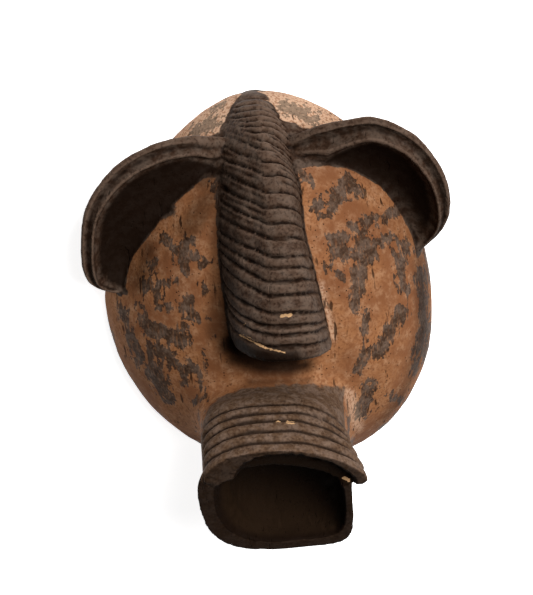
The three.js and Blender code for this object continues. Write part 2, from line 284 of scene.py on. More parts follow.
def noseBody():
    ridge, left, right, fullLeft, fullRight = zip(*nose["stations"])
    feet = {"left": footings(left), "right": footings(right)}
    fine = np.linspace(0, 1, 2000)
    steps = np.linalg.norm(np.diff(smoothRun(ridge, fine), axis=0), axis=1)
    run = np.concatenate([[0], np.cumsum(steps)])
    length = run[-1]
    inside = np.array([0, head["middleY"], 0])
    rows = photoPlace(smoothRun(ridge, fine))[:, 1]
    grooveRuns = np.interp(nose["grooves"], rows, run)
    leftRuns, rightRuns = (np.interp(nose[name], rows, run) for name in ("leftGrooves", "rightGrooves"))

    def ribCut(along, side):
        # how deep the knife went
        flat = np.column_stack([along * length, side * nose["flankWide"], along * 0])
        wavy = along * length + nose["waver"] * grain(flat, nose["waverSize"], 3, 1)
        nearest = np.round(np.interp(wavy, grooveRuns, np.arange(len(grooveRuns)))).astype(int)
        fromGroove = np.abs(wavy - grooveRuns[nearest])
        pitch = np.gradient(grooveRuns)[nearest]
        uneven = nose["uneven"] * grain(flat, nose["unevenSize"], 2, 2)
        deep = nose["grooveDeep"] * np.maximum(0.3, 1 + uneven)
        deep *= lerp(nose["crownShallow"], 1, smoothstep(along, *nose["crownEnd"]))
        cut = deep * np.maximum(0, 1 - fromGroove / (nose["grooveWide"] / 2))
        cut += nose["ribRound"] * np.maximum(0, 1 - fromGroove / (pitch / 2)) ** 2
        for flankRuns, onFlank in ((leftRuns, side), (rightRuns, -side)):
            away = np.abs(wavy[:, None] - flankRuns[None]).min(axis=1)
            between = nose["betweenDeep"] * deep * np.maximum(0, 1 - away / (nose["grooveWide"] / 2))
            cut = np.maximum(cut, between * smoothstep(onFlank, *nose["betweenStart"]))
        fadeRight, fadeLeft = nose["fade"]
        cut *= smoothstep((1 - np.abs(side)) / np.where(side > 0, fadeLeft, fadeRight), 0, 1)
        upperRight = smoothstep(-side, 0, 0.2) * (1 - smoothstep(along, *nose["upperRightEnd"]))
        return cut * (1 + nose["upperRight"] * upperRight)

    def pointAt(along, turn):
        t = np.interp(along * length, run, fine)
        flank = nose["flank"]
        side = np.clip(turn / flank, 0, 1) * 2 - 1  # -1 is the right foot, 0 the ridge, 1 the left foot
        top = smoothRun(ridge, t)
        leftFoot, rightFoot = smoothRun(feet["left"], t), smoothRun(feet["right"], t)
        foot = np.where((side > 0)[:, None], leftFoot, rightFoot)
        full = np.where(side > 0, smoothRun(fullLeft, t), smoothRun(fullRight, t))
        ridgeFull = lerp(*nose["ridgeFull"], smoothstep(along, *nose["ridgeRounds"]))
        full = lerp(ridgeFull, full, smoothstep(np.abs(side), 0, nose["ridgeShare"]))
        angle = np.abs(side) * math.pi / 2
        out = np.abs(np.sin(angle)) ** (2 / full)
        up = (np.maximum(0, np.cos(angle)) ** (2 / full))[:, None]
        point = np.column_stack([lerp(top[:, 0], foot[:, 0], out), lerp(foot[:, 1:], top[:, 1:], up)])
        inward = inside - point
        tip = 1 - np.sqrt(smoothstep((1 - along) * length, 0, nose["tipRound"]))
        cut = ribCut(along, side) + nose["tipRound"] * tip
        point += inward * (cut / np.linalg.norm(inward, axis=1))[:, None]
        across = ((turn - flank) / (1 - flank))[:, None]
        under = lerp(lerp(leftFoot, rightFoot, across), inside, nose["rootDepth"])
        return np.where((turn <= flank)[:, None], point, under)

    return tube(120, 420, pointAt)


# An ear is a cup that opens towards the nose. Each station has its outer edge, its inner foot on the
# head, the width of its double ridge and the depth of the groove in it.
ear = {
    "ridgeRound": 1.6,
    "backRound": 1,
    "wallDepth": 5.5,
    "footDepth": 4,
    "footReach": 2,
    "bandShare": 0.7,
    "lean": 0.35,
    "left": [
        ((-6, 49.5, 17), (-6, 43.5), 6, 0),
        ((-12, 51.8, 22), (-11.5, 44.2), 6, 0.6),
        ((-17.5, 52.9, 24.2), (-16, 40.6), 5.4, 1.2),
        ((-26, 51.8, 25.2), (-22.5, 35), 5.2, 1.4),
        ((-36, 46.8, 26), (-28, 28.6), 4.8, 1.4),
        ((-43.5, 37.5, 26), (-32, 23.6), 4.2, 1.3),
        ((-46.1, 26, 24.8), (-35, 18.9), 3.8, 1.3),
        ((-45.6, 17, 22), (-36.4, 14.2), 3, 1.1),
        ((-42, 12.8, 19), (-36.6, 12.6), 1.8, 0.5),
        ((-37.5, 10.6, 16.2), (-36, 11.8), 1, 0.2),
    ],
    "right": [
        ((3.8, 47, 17), (5, 41.5), 7.6, 0),
        ((9.5, 50.2, 21.4), (10, 43.2), 8.6, 1),
        ((15.7, 53.1, 24), (15.6, 42.7), 8.6, 2.4),
        ((22.5, 54.4, 25.2), (21.5, 40.6), 7.4, 2.4),
        ((30, 54.4, 26), (26, 37.5), 6.4, 1.9),
        ((38.9, 49.2, 26), (30.5, 33), 5.8, 1.6),
        ((44.9, 40.2, 25.4), (33.6, 28), 5, 1.5),
        ((46.8, 30.8, 23), (36, 23), 4.2, 1.3),
        ((45.3, 22.4, 18), (37.8, 18), 3, 0.9),
        ((40, 14.6, 11), (38.2, 13.6), 1.6, 0.4),
    ],
}


def cupCurve(steps):
    # from the rim to the foot, as shares of the way inwards and down
    for angle in np.array(steps) * math.pi / 2:
        yield lerp(1 - math.cos(angle), math.sin(angle), ear["lean"]), math.sin(angle)


def earSection(span, rim, foot, band, groove):
    # over the double ridge, down the cup to its foot and back outside, as (inwards, height) pairs
    ridgeTop = rim - ear["ridgeRound"]
    channel = np.minimum(0.25 + 0.9 * groove, 0.3 * band)  # half the groove's width
    section = [
        (0 * band, ridgeTop),
        (0.06 * band, rim - 0.5),
        (0.2 * band, rim),
        (0.5 * band - channel, rim - 0.15),
        (0.5 * band - 0.3 * channel, rim - 0.9 * groove),
        (0.5 * band + 0.3 * channel, rim - 0.95 * groove),
        (0.5 * band + channel, rim - 0.2),
        (0.82 * band, rim),
        (0.96 * band, rim - 0.6),
    ]
    for inwards, down in cupCurve(np.linspace(0, 1, 7)):
        section.append((lerp(band, span, inwards), lerp(ridgeTop, foot, down)))
    section.append((span + ear["footReach"], foot - ear["footDepth"]))
    for inwards, down in cupCurve(np.linspace(1, 0, 6)[:-1]):
        outside = lerp(ridgeTop - ear["backRound"], foot - ear["wallDepth"], down)
        section.append(((span + ear["footReach"]) * inwards, outside))
    return [np.column_stack(np.broadcast_arrays(*pair)) for pair in section]


def earBody(stations):
    edges, feet, bands, grooves = zip(*stations)
    feet = footings(feet)

    def pointAt(along, turn):
        outer, inner = smoothRun(edges, along), smoothRun(feet, along)
        inwards = inner[:, :2] - outer[:, :2]
        span = np.linalg.norm(inwards, axis=1)
        inwards /= span[:, None]
        band = np.minimum(smoothRun(bands, along), ear["bandShare"] * span)
        groove = np.maximum(0, smoothRun(grooves, along))
        section = np.array(earSection(span, outer[:, 2], inner[:, 2], band, groove))
        count = len(section)
        s = turn * count
        i = s.astype(int)
        f = (s - i)[:, None]
        each = np.arange(len(turn))
        a, b, c, d = (section[(i + k) % count, each] for k in (-1, 0, 1, 2))
        place = smoothBetween(a, b, c, d, f)
        return np.column_stack([outer[:, :2] + inwards * place[:, :1], place[:, 1]])

    return tube(140, 220, pointAt)


# The muzzle stands out of the face along an axis that leans towards the chin.
# Its sections lie across that axis: x to the right and rise towards the forehead.
muzzle = {"lean": 25, "length": 46, "endDistance": 67.05}
jaw = {
    "middle": -2.5,
    "end": {"left": 19.4, "right": 19.2, "up": 14.6, "down": 22.8},
    "setBack": 1.2,  # of its rim, behind the lip's
    "waist": {"left": -2.1, "right": -0.6, "up": 0, "down": -1.2},
    "root": {"left": 1.5, "right": 4, "up": 0, "down": 5},
    "dip": 8.5,  # the top sinks to the face behind the collar
    "dipStart": 15,
    "dipEnd": 36,
    "waistLength": 6,
    "rootStart": 18,
    "power": {"leftDown": 2.6, "rightDown": 7, "leftUp": 3, "rightUp": 2.2},
    "leftUpFront": 2.5,  # rounder under the collar, so that the collar's left side shows
    "leftUpEnd": (10, 18),
    "upRoot": 1.7,  # rounder where the top runs out into the face
    "upRootFull": 30,
}
collar = {
    "middle": 0.5,
    "left": 20,
    "right": 20.1,
    "foot": 3.5,
    "rise": 11.7,
    "tilt": -0.1,
    "length": 16,
    "step": 1.4,
    "grooves": [3.6, 7.2, 10.5, 13.2],  # distances from the lip
    "grooveDeep": 1.3,
    "grooveWide": 1.9,
    "waver": 0.35,
    "waverSize": 9,
    "around": 60,  # about its length over the lip
    "arch": 0.7,  # share of a ring that is over the lip
    "stepLength": 0.8,
    "flare": 3.6,
    "lipRound": 1,
    "lipDepth": 1.2,
    "power": {"leftUp": 2.2, "rightUp": 1.7, "leftDown": 2, "rightDown": 2},
}
rebate = {"deep": 3, "left": 12.5, "right": 17, "up": 10.4, "down": 5, "taper": 1.6}
mouth = {
    "middle": -1.5,
    "level": -2,
    "left": 12,
    "right": 15.8,
    "up": 8.6,
    "down": 17,
    "flare": 4,
    "flareLength": 7,
    "dip": 2.6,  # its top sinks with the muzzle's
    "dipStart": 16,
    "dipEnd": 33,
    "depth": 50,
    "ahead": 3,
    "power": {"leftDown": 2.4, "rightDown": 6, "leftUp": 3.5, "rightUp": 1.5},
}


def muzzleAxes():
    lean = math.radians(muzzle["lean"])
    return np.array([0, -math.sin(lean), math.cos(lean)]), np.array([0, math.cos(lean), math.sin(lean)])


def muzzlePlace(back, x, rise):
    axis, up = muzzleAxes()
    place = (muzzle["endDistance"] - back)[:, None] * axis + rise[:, None] * up
    place[:, 0] = x
    return place


def jawBody():
    def pointAt(along, turn):
        back = lerp(muzzle["length"], jaw["setBack"], along)
        root = smoothstep(back, jaw["rootStart"], muzzle["length"]) ** 1.5
        waist = smoothstep(back, 0, jaw["waistLength"])
        size = {s: jaw["end"][s] + jaw["waist"][s] * waist + jaw["root"][s] * root for s in jaw["end"]}
        size["up"] = size["up"] - jaw["dip"] * smoothstep(back, jaw["dipStart"], jaw["dipEnd"])
        leftUp = lerp(jaw["leftUpFront"], jaw["power"]["leftUp"], smoothstep(back, *jaw["leftUpEnd"]))
        rootRound = smoothstep(back, jaw["rootStart"], jaw["upRootFull"])
        upper = {"leftUp": leftUp, "rightUp": jaw["power"]["rightUp"]}
        upper = {s: lerp(p, jaw["upRoot"], rootRound) for s, p in upper.items()}
        x, rise = roundedPoint(turn, size, {**jaw["power"], **upper})
        return muzzlePlace(back, jaw["middle"] + x, rise)

    return tube(160, 90, pointAt)


def wavyBack(back, turn):
    # the collar's grooves waver a little
    flat = np.column_stack([turn * collar["around"], back, back * 0])
    return back + collar["waver"] * grain(flat, collar["waverSize"], 2, 3)


def collarBody():
    arch = collar["arch"]

    def pointAt(along, turn):
        back = collar["length"] * (1 - along)
        wavy = wavyBack(back, turn)
        cut = collar["step"] * smoothstep(wavy, collar["length"] - collar["stepLength"], collar["length"])
        for distance in collar["grooves"]:
            away = np.abs(wavy - distance) / (collar["grooveWide"] / 2)
            cut = np.maximum(cut, collar["grooveDeep"] * np.maximum(0, 1 - away))
        right = collar["right"] - collar["flare"] * smoothstep(back, 0, collar["length"])
        size = {"left": collar["left"] - cut, "right": right - cut}
        size.update({"up": collar["rise"] - cut, "down": cut * 0})
        x, rise = roundedPoint(np.minimum(turn / arch, 1) / 2, size, collar["power"])
        over = turn <= arch
        across = ((turn - arch) / (1 - arch)) * 2 - 1
        x = np.where(over, x, across * (right - collar["lipRound"]))
        rise = np.where(over, rise, -collar["lipDepth"]) + collar["foot"] + collar["tilt"] * x
        return muzzlePlace(back, collar["middle"] + x, rise)

    return tube(200, 110, pointAt)


def rebateCutter():
    # behind its edge the upper lip is cut back, so that the edge is thin
    def pointAt(along, turn):
        back = rebate["deep"] - along * (rebate["deep"] + mouth["ahead"])
        narrow = rebate["taper"] * np.maximum(0, back / rebate["deep"])
        size = {s: rebate[s] - narrow for s in ("left", "right", "up", "down")}
        x, rise = roundedPoint(turn, size, collar["power"])
        return muzzlePlace(back, collar["middle"] + x, collar["foot"] + rise + collar["tilt"] * x)

    return tube(120, 12, pointAt)


def mouthCutter():
    def pointAt(along, turn):
        back = mouth["depth"] - along * (mouth["depth"] + mouth["ahead"])
        flare = mouth["flare"] * (1 - smoothstep(back, 0, mouth["flareLength"]))
        dip = mouth["dip"] * smoothstep(back, mouth["dipStart"], mouth["dipEnd"])
        size = {"left": mouth["left"] + flare, "right": mouth["right"]}
        size.update({"up": mouth["up"] - dip, "down": mouth["down"]})
        x, rise = roundedPoint(turn, size, mouth["power"])
        return muzzlePlace(back, mouth["middle"] + x, mouth["level"] + rise)

    return tube(120, 60, pointAt)


def belowCutter():
    # takes away whatever reaches below the back rim
    bm = bmesh.new()
    side = 300
    bmesh.ops.create_cube(bm, size=side)
    bmesh.ops.translate(bm, verts=bm.verts, vec=(0, 0, -side / 2))
    return bm


def objectFrom(bm, name):
    mesh = bpy.data.meshes.new(name)
    bm.to_mesh(mesh)
    made = bpy.data.objects.new(name, mesh)
    bpy.context.scene.collection.objects.link(made)
    return made


def applyModifiers(piece):
    evaluated = piece.evaluated_get(bpy.context.evaluated_depsgraph_get())
    mesh = bpy.data.meshes.new_from_object(evaluated)
    piece.modifiers.clear()
    piece.data = mesh


# The bodies overlap. They are made one, and the hollows are cut out of them.
carving = {
    "headSegments": (256, 128),
    "hollowSegments": (96, 64),
    "cutters": ("hollow", "mouth", "rebate", "below"),
    "voxel": 0.33,
    "quickVoxel": 0.6,
    "faces": 192000,
    "evenPasses": 2,
    "hollowPasses": {"groove": 7, "hollow": 60},  # few smoothing passes find grooves, many find hollows
}
bodies = {
    "nose": noseBody(),
    "leftEar": earBody(ear["left"]),
    "rightEar": earBody(ear["right"]),
    "jaw": jawBody(),
    "collar": collarBody(),
    "hollow": headBody(head["rimWall"], head["crownWall"], *carving["hollowSegments"]),
    "mouth": mouthCutter(),
    "rebate": rebateCutter(),
    "below": belowCutter(),
}
print("bodies made")


def joinBodies():
    piece = objectFrom(headBody(0, 0, *carving["headSegments"]), "mask_carving")
    helpers = []
    for name, bm in bodies.items():
        helper = objectFrom(bm, name)
        helpers.append(helper)
        join = piece.modifiers.new(name, "BOOLEAN")
        join.object = helper
        join.operation = "DIFFERENCE" if name in carving["cutters"] else "UNION"
        join.solver = "MANIFOLD"
    applyModifiers(piece)
    for helper in helpers:
        bpy.data.objects.remove(helper)
    remesh = piece.modifiers.new("evenMesh", "REMESH")
    remesh.mode = "VOXEL"
    remesh.voxel_size = carving["voxel"]
    applyModifiers(piece)
    return piece


# The mesh's points as arrays, and the points joined by its edges.
def arrayOf(items, name, width, kind=float):
    flat = np.empty(len(items) * width, kind)
    items.foreach_get(name, flat)
    return flat.reshape(-1, width)


def pointsOf(mesh):
    return arrayOf(mesh.vertices, "co", 3)


def normalsOf(mesh):
    return arrayOf(mesh.vertices, "normal", 3)


def edgesOf(mesh):
    return arrayOf(mesh.edges, "vertices", 2, int)


def setPoints(mesh, points):
    mesh.vertices.foreach_set("co", points.ravel())
    mesh.update()


def relaxed(points, edges, weight, passes):
    # each pass moves a point towards the mean of its neighbours by its weight
    a, b = edges[(weight[edges[:, 0]] > 0) | (weight[edges[:, 1]] > 0)].T
    count = len(points)
    shared = np.maximum(1, np.bincount(a, minlength=count) + np.bincount(b, minlength=count))
    points = points.copy()
    for _ in range(passes):
        for k in range(3):
            column = points[:, k]
            total = np.bincount(a, column[b], count) + np.bincount(b, column[a], count)
            points[:, k] = np.where(weight > 0, lerp(column, total / shared, weight), column)
    return points


def readValues(mesh, name):
    return arrayOf(mesh.attributes[name].data, "value", 1)[:, 0]


def keepValues(mesh, name, values):
    made = mesh.attributes.get(name) or mesh.attributes.new(name, "FLOAT", "POINT")
    made.data.foreach_set("value", values)


def thinOut(piece):
    steady = np.full(len(piece.data.vertices), 0.5)
    edges = edgesOf(piece.data)
    points = relaxed(pointsOf(piece.data), edges, steady, carving["evenPasses"])
    setPoints(piece.data, points)
    normals = normalsOf(piece.data)
    for name, passes in carving["hollowPasses"].items():
        # how far a point lies below the smoothed surface
        moved = relaxed(points, edges, steady, passes) - points
        keepValues(piece.data, name, (moved * normals).sum(axis=1))
    triangles = sum(len(face.vertices) - 2 for face in piece.data.polygons)
    if triangles > carving["faces"]:
        thin = piece.modifiers.new("thinOut", "DECIMATE")
        thin.ratio = carving["faces"] / triangles
        applyModifiers(piece)


def dropSpecks(piece):
    # where bodies meet, specks of a few faces are left shut inside the wood
    bm = bmesh.new()
    bm.from_mesh(piece.data)
    shells, unread = [], set(bm.verts)
    while unread:
        front = {unread.pop()}
        shell = set(front)
        while front:
            front = {edge.other_vert(vertex) for vertex in front for edge in vertex.link_edges} & unread
            unread -= front
            shell |= front
        shells.append(shell)
    specks = [vertex for shell in sorted(shells, key=len)[:-1] for vertex in shell]
    bmesh.ops.delete(bm, geom=specks, context="VERTS")
    bm.to_mesh(piece.data)
    bm.free()
    return len(shells) - 1


mask = joinBodies()
print("bodies joined:", len(mask.data.vertices), "points")
thinOut(mask)
print("specks dropped:", dropSpecks(mask))
print("mesh thinned out:", len(mask.data.polygons), "faces")

bodies["head"] = headBody(0, 0, *carving["headSegments"])
near = {name: BVHTree.FromBMesh(bm) for name, bm in bodies.items() if name != "below"}


def partDistances(points):
    # how far each point is from each body's surface
    spots = [Vector(point) for point in points]
    away = {name: np.array([tree.find_nearest(spot)[3] for spot in spots]) for name, tree in near.items()}
    away["inner"] = np.min([away[name] for name in ("hollow", "mouth", "rebate")], axis=0)
    away["ears"] = np.minimum(away["leftEar"], away["rightEar"])
    return away


# Where something lies in the photo, as runs of its pixels. Their reach is positive inside.
def strokeReach(places, strokes):
    best = np.full(len(places), -99.0)
    for *run, radius in strokes:
        for start, end in zip(run, run[1:] if len(run) > 1 else run):
            start, along = np.array(start, float), np.array(end, float) - start
            t = np.clip(((places - start) @ along) / max(along @ along, 1e-9), 0, 1)
            away = np.linalg.norm(places - start - t[:, None] * along, axis=1)
            best = np.maximum(best, radius - away)
    return best


def areaReach(places, corners):
    corners = np.array(corners, float)
    away = -strokeReach(places, [(*corners, corners[0], 0)])
    inside = np.zeros(len(places), bool)
    for (ax, ay), (bx, by) in zip(corners, np.roll(corners, -1, axis=0)):
        crosses = (ay > places[:, 1]) != (by > places[:, 1])
        rise = by - ay if by != ay else 1
        inside ^= crosses & (places[:, 0] < ax + (places[:, 1] - ay) / rise * (bx - ax))
    return np.where(inside, away, -away)


def facing(points, normals):
    # how squarely the photo's camera sees a point
    back = np.array(cameraAxes()[2])
    toCamera = np.array(camera["aim"]) + camera["distance"] * back - points
    toCamera /= np.linalg.norm(toCamera, axis=1)[:, None]
    return (normals * toCamera).sum(axis=1)


# Knife work over the whole carving, in millimetres, apart from the cheek's edge, in the photo's pixels.
knife = {
    "rootReach": 9,  # how far the muzzle's root is blended into the face
    "rootPasses": 220,
    "footReach": 1.6,
    "footPasses": 8,
    "facet": 0.16,
    "facetSize": 7,
    "rough": 0.07,
    "roughSize": 1.7,
    "insideRough": 0.3,
    "flankRough": 0.1,  # on the left of the nose
    "cheekEdge": [(350, 250), (348, 261), (343, 306), (351, 346), (351, 392)],
    "cheekRise": 1.1,
    "cheekLeft": (-24, 2),  # it rises from its left side, over its edge, and falls again to its right
    "cheekRight": (-2, 30),
    "cheekFull": (285, 350),  # rows between which it is highest
    "rimPasses": 12,  # that wear the muzzle's rim round
    "thinLipLeft": (-11, -8),  # right of here the lip's edge is thin, and is worn less
    "lipChip": 0.6,
    "lipChipSize": 1.4,
}


def muzzleBack(points):
    return muzzle["endDistance"] - points @ muzzleAxes()[0]


def muzzleHeight(points):
    return points @ muzzleAxes()[1]


def rootBlend(away):
    fromBoth = np.maximum(away["head"], away["jaw"])
    root = 1 - smoothstep(fromBoth, 0.35 * knife["rootReach"], knife["rootReach"])
    return root * smoothstep(away["collar"], 0.8, 3) * smoothstep(away["nose"], 1, 4)


def soften(points, edges, away, outside):
    # blends the muzzle and the feet of nose and ears into the face, and wears the muzzle's rim
    points = relaxed(points, edges, 0.5 * rootBlend(away) * outside, knife["rootPasses"])
    fromBoth = np.maximum(away["head"], np.minimum(away["nose"], away["ears"]))
    foot = 1 - smoothstep(fromBoth, 0.3, knife["footReach"])
    points = relaxed(points, edges, 0.5 * foot * outside, knife["footPasses"])
    thinLip = (1 - smoothstep(away["collar"], 0.3, 1)) * smoothstep(points[:, 0], *knife["thinLipLeft"])
    thinLip *= smoothstep(muzzleHeight(points), 2, 5)
    rim = (1 - smoothstep(muzzleBack(points), 3, 5)) * lerp(1, 0.15, thinLip)
    return relaxed(points, edges, 0.5 * rim, knife["rimPasses"])


def knifeMarks(points, normals, away, outside):
    # shallow facets, a rough skin and the cheek's raised edge, as a rise along the normals
    rise = knife["facet"] * grain(points, knife["facetSize"], 2, 5) * outside
    flank = (1 - smoothstep(away["nose"], 0.4, 1)) * smoothstep(-normals[:, 0], 0.1, 0.5)
    rough = lerp(knife["insideRough"], knife["rough"], outside) + knife["flankRough"] * flank
    rise += rough * grain(points * (1, 1, 0.7), knife["roughSize"], 3, 6)
    seen = photoPlace(points)
    edge = np.array(knife["cheekEdge"], float)
    side = seen[:, 0] - np.interp(seen[:, 1], edge[:, 1], edge[:, 0])
    cheek = smoothstep(side, *knife["cheekLeft"]) * (1 - smoothstep(side, *knife["cheekRight"]))
    top, bottom = knife["cheekFull"]
    cheek *= smoothstep(seen[:, 1], edge[0, 1], top) * (1 - smoothstep(seen[:, 1], bottom, edge[-1, 1]))
    cheek *= smoothstep(facing(points, normals), 0.2, 0.5) * smoothstep(away["nose"], 0.3, 2)
    return rise + knife["cheekRise"] * cheek * outside


def lipChips(points, away):
    # how far the lip's edge is chipped back, more on the left
    lip = (1 - smoothstep(muzzleBack(points), 0.6, 2)) * (1 - smoothstep(away["collar"], 0.3, 0.8))
    lip *= smoothstep(muzzleHeight(points), 0, 4) * lerp(1, 0.4, smoothstep(points[:, 0], 0, 10))
    return lip * knife["lipChip"] * np.maximum(0, grain(points, knife["lipChipSize"], 2, 7) + 0.1)


def carve(piece):
    points = pointsOf(piece.data)
    away = partDistances(points)
    outside = smoothstep(away["inner"], 0.3, 0.9)
    points = soften(points, edgesOf(piece.data), away, outside)
    setPoints(piece.data, points)
    normals = normalsOf(piece.data)
    points += normals * knifeMarks(points, normals, away, outside)[:, None]
    points -= muzzleAxes()[0] * lipChips(points, away)[:, None]
    setPoints(piece.data, points)


carve(mask)
print("knife work done")

# Where the paint lies, from the photo's pixels: a dark stain on nose and ears, grey brown patches
# that are left of an older coat, a grey coat on the muzzle, and chips down to bare wood.
paintAreas = {
    "ears": [
        [(227, 178), (204, 178), (184, 188), (175, 202), (174, 215), (157, 222), (148, 229), (138, 239)]
        + [(128, 256), (124, 273), (124, 283), (100, 292), (60, 300), (50, 200), (120, 120)]
        + [(205, 132), (236, 134)],
        [(284, 172), (303, 163), (325, 161), (352, 161), (370, 167), (388, 179), (404, 194), (420, 208)]
        + [(422, 226), (424, 250), (460, 255), (470, 150), (400, 100), (330, 114), (308, 127), (270, 114)],
    ],
    "noseEdge": [(318.5, 274), (320.5, 285), (322, 300), (324.5, 312), (327, 325), (329.2, 335)]
    + [(332, 346), (600, 352)],  # right of it, at the nose's foot, the tan shows
    "noseEdgeStart": (274, 284),
    "noseEdgeSoft": 3,
    "earEdge": 0.3,  # the ears' stain ends this much less sharply than the other coats
    "neck": [(203, 422), (205, 412), (211, 403), (227, 393), (243, 388), (300, 383), (343, 387), (346, 406)]
    + [(356, 424), (400, 520), (380, 600), (180, 600), (188, 480)],
    "patches": [
        ((196, 131), (218, 121), 6), ((213, 107), (222, 103), 4), ((165, 240), (178, 250), 6),
        ((178, 250), (190, 240), 5), ((186, 252), (204, 262), 6), ((180, 256), (186, 268), 6),
        ((154, 262), (146, 290), 4.5), ((202, 284), (205, 292), 2.5), ((160, 286), (175, 281), 4),
        ((158, 290), (160, 306), 5), ((160, 306), (178, 310), 4), ((178, 310), (190, 300), 4),
        ((182, 300), (196, 318), 5), ((186, 322), (180, 331), 4), ((152, 330), (182, 340), 9),
        ((160, 350), (184, 366), 8), ((150, 345), (156, 368), 6), ((140, 304), (150, 340), 5),
        ((121, 304), (125, 322), 4), ((128, 330), (142, 362), 6), ((150, 368), (170, 398), 7),
        ((182, 374), (185, 383), 4), ((195, 367), (203, 375), 4), ((200, 384), (196, 402), 3),
        ((210, 319), 2), ((213, 337), 2), ((300, 170), (306, 178), 5), ((306, 178), (316, 187), 2),
        ((316, 206), (332, 204), 8), ((330, 200), (352, 188), 10), ((346, 180), (357, 192), 7),
        ((322, 214), (330, 218), 4), ((385, 214), (396, 212), 6), ((366, 222), (382, 218), 7),
        ((352, 226), (364, 230), 6), ((332, 240), (346, 238), 7), ((336, 252), (372, 256), 8),
        ((364, 240), (372, 256), 8), ((380, 244), (388, 238), 6), ((397, 240), (410, 250), 5),
        ((398, 252), (404, 290), 6), ((408, 250), (416, 248), 4), ((360, 268), (356, 306), 8),
        ((326, 266), (346, 280), 3), ((402, 310), (378, 352), 7), ((420, 270), (424, 330), 5),
        ((422, 330), (416, 378), 5), ((365, 310), (364, 332), 4), ((368, 345), (360, 368), 6),
        ((370, 385), (360, 412), 7), ((393, 396), (400, 400), 4), ((284, 106), (314, 118), 7),
        ((214, 180), (218, 204), 3), ((204, 348), (206, 398), 1.6),
    ],
    "chips": [
        ((281, 316), (291, 315), 1.6), ((245, 324), 1.3), ((240, 334), (266, 348), 1.5),
        ((266, 348), (286, 353), 0.8), ((276, 422), (280, 422), 1), ((287, 422), (294, 423), 1.5),
        ((344, 478), (349, 480), 1.8), ((345, 139), 1),
    ],
    # dark dirt with a painted shadow under the nose; dirt and painted shade beside the nose, by the ears
    # and on the right side; paler strips by the nose's right foot and the muzzle's right side
    "grimeAndShade": [((234, 358), (262, 368), (290, 369), (306, 365), 3), ((250, 382), (310, 380), -4)]
    + [((230, 344), (246, 355), (268, 360), (292, 361), 8)],
    "shadeSoft": 3,  # mm over which it fades
    "dirtAndShadeWash": [((226, 185), (222, 330), 12), ((214, 196), (188, 228), 9), ((206, 180), (226, 176), 8)]
    + [((150, 250), (140, 285), 4), ((430, 262), (434, 330), (420, 390), (395, 430), 14)],
    "dirtAndShadeWashSoft": 2.5,
    "pale": [((321, 284), (325, 302), (330, 322), (333, 338), 2.5), ((349, 394), (358, 426), 5)],
    "unseenSize": 13,  # mm, of the patches on the sides and the back
    "unseenShare": 0.18,  # less of them as it rises
    "neckBelow": 17,  # mm that the grey coat reaches back from the lip, under the muzzle
}


def cupShade(points, seen, away):
    # painted shade inside the ears' cups over their dark stain, from their rims inwards, with a ragged end
    # on the cheeks
    shade = np.zeros(len(points))
    ragged = 0.9 * grain(points, 3, 3, 9) - 0.4
    for side, corners in zip(("left", "right"), paintAreas["ears"]):
        edge, _, band, _ = (smoothRun(run, np.linspace(0, 1, 60)) for run in zip(*ear[side]))
        gaps = np.linalg.norm(points[:, None, :2] - edge[None, :, :2], axis=2)
        nearest = gaps.argmin(axis=1)
        past = gaps[np.arange(len(points)), nearest] - band[nearest]
        onCheek = camera["pixel"] * areaReach(seen, corners) + ragged
        within = np.maximum(0.8 - away[side + "Ear"], onCheek)
        shade = np.maximum(shade, smoothstep(past, 0, 1.5) * smoothstep(within, -0.2, 0.6))
    return shade


def muzzleShade(points, normals, away):
    # the dark rim of the jaw and end of the lip, dark paint with painted shade, and painted shade in the
    # collar's grooves
    back = muzzleBack(points)
    rim = (1 - smoothstep(back, 2, 4)) * smoothstep(away["collar"], 0.3, 1)
    lipEnd = (1 - smoothstep(back, 0.6, 1.2)) * smoothstep(normals @ muzzleAxes()[0], 0.5, 0.9)
    archTurn = np.arctan2(muzzleHeight(points) - collar["foot"], points[:, 0] - collar["middle"])
    wavy = wavyBack(back, archTurn / math.pi * collar["arch"])
    grooves = np.array(collar["grooves"] + [collar["length"] + 0.2])
    lines = 1 - smoothstep(np.abs(wavy[:, None] - grooves).min(axis=1), 0.2, 0.7)
    lines *= (1 - smoothstep(away["collar"], 1.4, 2.4)) * smoothstep(away["inner"], 0.3, 0.9)
    return np.max([0.9 * rim, 0.72 * lipEnd, 0.9 * lines], axis=0)


